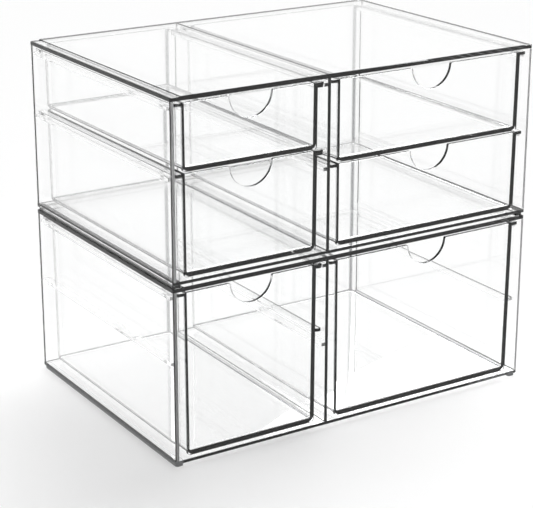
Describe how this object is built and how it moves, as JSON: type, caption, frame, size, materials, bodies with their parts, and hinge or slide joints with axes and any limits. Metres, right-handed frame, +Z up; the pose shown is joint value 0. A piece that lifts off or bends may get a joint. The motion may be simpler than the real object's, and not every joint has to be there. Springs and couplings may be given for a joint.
{
  "type": "craft stamp storage drawers",
  "caption": "Stacked clear plastic casings with pull-out drawers of different widths and heights, hung on side rails, each with a half-round finger notch in its front.",
  "frame": {"origin": "middle of the bounding box's bottom face, where the lower skids stand", "axes": "+Z up, -Y is the front that the drawers open to, +X to the right as seen from the front"},
  "size_m": [0.24, 0.167, 0.2071],
  "materials": {
    "clear_casing": "polished transparent, colourless",
    "clear_drawer": "polished transparent, colourless"
  },
  "bodies": {
    "lower_casing": {"lower_base_panel": "clear_casing", "lower_left_wall": "clear_casing", "lower_right_wall": "clear_casing", "lower_divider": "clear_casing", "lower_back_panel": "clear_casing", "lower_top_panel": "clear_casing"},
    "upper_casing": {"upper_base_panel": "clear_casing", "upper_left_wall": "clear_casing", "upper_right_wall": "clear_casing", "upper_divider": "clear_casing", "upper_back_panel": "clear_casing", "upper_top_panel": "clear_casing"},
    "upper_left_shallow_drawer": {"upper_left_shallow_drawer": "clear_drawer"},
    "upper_left_deep_drawer": {"upper_left_deep_drawer": "clear_drawer"},
    "upper_right_top_drawer": {"upper_right_top_drawer": "clear_drawer"},
    "upper_right_bottom_drawer": {"upper_right_bottom_drawer": "clear_drawer"},
    "lower_left_tall_drawer": {"lower_left_tall_drawer": "clear_drawer"},
    "lower_right_tall_drawer": {"lower_right_tall_drawer": "clear_drawer"}
  },
  "joints": [
    {"name": "upper_casing_lift", "type": "slide", "parent": "lower_casing", "child": "upper_casing", "axis": [0, 0, 1], "range_m": [0, 0.12]},
    {"name": "upper_left_shallow_drawer_slide", "type": "slide", "parent": "upper_casing", "child": "upper_left_shallow_drawer", "axis": [0, -1, 0], "range_m": [0, 0.13]},
    {"name": "upper_left_deep_drawer_slide", "type": "slide", "parent": "upper_casing", "child": "upper_left_deep_drawer", "axis": [0, -1, 0], "range_m": [0, 0.13]},
    {"name": "upper_right_top_drawer_slide", "type": "slide", "parent": "upper_casing", "child": "upper_right_top_drawer", "axis": [0, -1, 0], "range_m": [0, 0.13]},
    {"name": "upper_right_bottom_drawer_slide", "type": "slide", "parent": "upper_casing", "child": "upper_right_bottom_drawer", "axis": [0, -1, 0], "range_m": [0, 0.13]},
    {"name": "lower_left_tall_drawer_slide", "type": "slide", "parent": "lower_casing", "child": "lower_left_tall_drawer", "axis": [0, -1, 0], "range_m": [0, 0.13]},
    {"name": "lower_right_tall_drawer_slide", "type": "slide", "parent": "lower_casing", "child": "lower_right_tall_drawer", "axis": [0, -1, 0], "range_m": [0, 0.13]}
  ]
}
